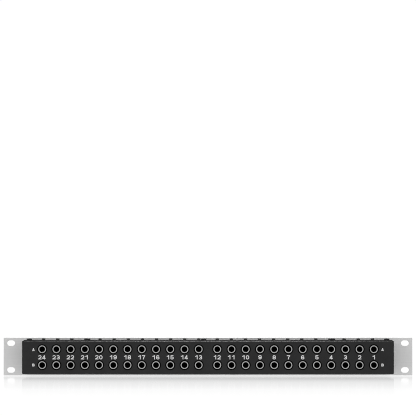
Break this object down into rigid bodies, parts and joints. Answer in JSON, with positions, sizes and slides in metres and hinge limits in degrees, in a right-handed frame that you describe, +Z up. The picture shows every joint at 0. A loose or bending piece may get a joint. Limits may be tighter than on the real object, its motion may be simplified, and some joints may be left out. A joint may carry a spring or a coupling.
{
  "type": "audio patch bay",
  "caption": "One-unit rack-mount audio patch bay: slotted metal panel, black steel case, two rows of jacks front and rear, and a mode slide switch on top for each channel.",
  "frame": {"origin": "middle of the underside of the bounding box; z = 0 is the front panel's lower edge", "axes": "+X along the rack, channel 1 at +X; +Y out of the front panel, so the rear jacks face -Y; +Z up"},
  "size_m": [0.4826, 0.09, 0.0444],
  "materials": {
    "front_panel": "fine brushed, satin silver",
    "black_steel": "fine black powder coat, low sheen",
    "jack_black": "moulded, satin",
    "slider_black": "moulded, satin",
    "dark_screw": "black-oxide steel"
  },
  "bodies": {
    "case": {"front_panel": "front_panel", "chassis": "black_steel", "top_cover": "black_steel", "channel_card_01": "jack_black", "channel_card_02": "jack_black", "channel_card_03": "jack_black", "channel_card_04": "jack_black", "channel_card_05": "jack_black", "channel_card_06": "jack_black", "channel_card_07": "jack_black", "channel_card_08": "jack_black", "channel_card_09": "jack_black", "channel_card_10": "jack_black", "channel_card_11": "jack_black", "channel_card_12": "jack_black", "channel_card_13": "jack_black", "channel_card_14": "jack_black", "channel_card_15": "jack_black", "channel_card_16": "jack_black", "channel_card_17": "jack_black", "channel_card_18": "jack_black", "channel_card_19": "jack_black", "channel_card_20": "jack_black", "channel_card_21": "jack_black", "channel_card_22": "jack_black", "channel_card_23": "jack_black", "channel_card_24": "jack_black", "cover_screw_1": "dark_screw", "cover_screw_2": "dark_screw", "cover_screw_3": "dark_screw", "cover_screw_4": "dark_screw", "cover_screw_5": "dark_screw", "panel_screw_1": "dark_screw", "panel_screw_2": "dark_screw", "panel_screw_3": "dark_screw", "panel_screw_4": "dark_screw"},
    "switch_01": {"mode_slider_01": "slider_black"},
    "switch_02": {"mode_slider_02": "slider_black"},
    "switch_03": {"mode_slider_03": "slider_black"},
    "switch_04": {"mode_slider_04": "slider_black"},
    "switch_05": {"mode_slider_05": "slider_black"},
    "switch_06": {"mode_slider_06": "slider_black"},
    "switch_07": {"mode_slider_07": "slider_black"},
    "switch_08": {"mode_slider_08": "slider_black"},
    "switch_09": {"mode_slider_09": "slider_black"},
    "switch_10": {"mode_slider_10": "slider_black"},
    "switch_11": {"mode_slider_11": "slider_black"},
    "switch_12": {"mode_slider_12": "slider_black"},
    "switch_13": {"mode_slider_13": "slider_black"},
    "switch_14": {"mode_slider_14": "slider_black"},
    "switch_15": {"mode_slider_15": "slider_black"},
    "switch_16": {"mode_slider_16": "slider_black"},
    "switch_17": {"mode_slider_17": "slider_black"},
    "switch_18": {"mode_slider_18": "slider_black"},
    "switch_19": {"mode_slider_19": "slider_black"},
    "switch_20": {"mode_slider_20": "slider_black"},
    "switch_21": {"mode_slider_21": "slider_black"},
    "switch_22": {"mode_slider_22": "slider_black"},
    "switch_23": {"mode_slider_23": "slider_black"},
    "switch_24": {"mode_slider_24": "slider_black"}
  },
  "joints": [
    {"name": "mode_switch_01", "type": "slide", "parent": "case", "child": "switch_01", "axis": [0, 1, 0], "range_m": [-0.002, 0.002]},
    {"name": "mode_switch_02", "type": "slide", "parent": "case", "child": "switch_02", "axis": [0, 1, 0], "range_m": [-0.002, 0.002]},
    {"name": "mode_switch_03", "type": "slide", "parent": "case", "child": "switch_03", "axis": [0, 1, 0], "range_m": [-0.002, 0.002]},
    {"name": "mode_switch_04", "type": "slide", "parent": "case", "child": "switch_04", "axis": [0, 1, 0], "range_m": [-0.002, 0.002]},
    {"name": "mode_switch_05", "type": "slide", "parent": "case", "child": "switch_05", "axis": [0, 1, 0], "range_m": [-0.002, 0.002]},
    {"name": "mode_switch_06", "type": "slide", "parent": "case", "child": "switch_06", "axis": [0, 1, 0], "range_m": [-0.002, 0.002]},
    {"name": "mode_switch_07", "type": "slide", "parent": "case", "child": "switch_07", "axis": [0, 1, 0], "range_m": [-0.002, 0.002]},
    {"name": "mode_switch_08", "type": "slide", "parent": "case", "child": "switch_08", "axis": [0, 1, 0], "range_m": [-0.002, 0.002]},
    {"name": "mode_switch_09", "type": "slide", "parent": "case", "child": "switch_09", "axis": [0, 1, 0], "range_m": [-0.002, 0.002]},
    {"name": "mode_switch_10", "type": "slide", "parent": "case", "child": "switch_10", "axis": [0, 1, 0], "range_m": [-0.002, 0.002]},
    {"name": "mode_switch_11", "type": "slide", "parent": "case", "child": "switch_11", "axis": [0, 1, 0], "range_m": [-0.002, 0.002]},
    {"name": "mode_switch_12", "type": "slide", "parent": "case", "child": "switch_12", "axis": [0, 1, 0], "range_m": [-0.002, 0.002]},
    {"name": "mode_switch_13", "type": "slide", "parent": "case", "child": "switch_13", "axis": [0, 1, 0], "range_m": [-0.002, 0.002]},
    {"name": "mode_switch_14", "type": "slide", "parent": "case", "child": "switch_14", "axis": [0, 1, 0], "range_m": [-0.002, 0.002]},
    {"name": "mode_switch_15", "type": "slide", "parent": "case", "child": "switch_15", "axis": [0, 1, 0], "range_m": [-0.002, 0.002]},
    {"name": "mode_switch_16", "type": "slide", "parent": "case", "child": "switch_16", "axis": [0, 1, 0], "range_m": [-0.002, 0.002]},
    {"name": "mode_switch_17", "type": "slide", "parent": "case", "child": "switch_17", "axis": [0, 1, 0], "range_m": [-0.002, 0.002]},
    {"name": "mode_switch_18", "type": "slide", "parent": "case", "child": "switch_18", "axis": [0, 1, 0], "range_m": [-0.002, 0.002]},
    {"name": "mode_switch_19", "type": "slide", "parent": "case", "child": "switch_19", "axis": [0, 1, 0], "range_m": [-0.002, 0.002]},
    {"name": "mode_switch_20", "type": "slide", "parent": "case", "child": "switch_20", "axis": [0, 1, 0], "range_m": [-0.002, 0.002]},
    {"name": "mode_switch_21", "type": "slide", "parent": "case", "child": "switch_21", "axis": [0, 1, 0], "range_m": [-0.002, 0.002]},
    {"name": "mode_switch_22", "type": "slide", "parent": "case", "child": "switch_22", "axis": [0, 1, 0], "range_m": [-0.002, 0.002]},
    {"name": "mode_switch_23", "type": "slide", "parent": "case", "child": "switch_23", "axis": [0, 1, 0], "range_m": [-0.002, 0.002]},
    {"name": "mode_switch_24", "type": "slide", "parent": "case", "child": "switch_24", "axis": [0, 1, 0], "range_m": [-0.002, 0.002]}
  ]
}
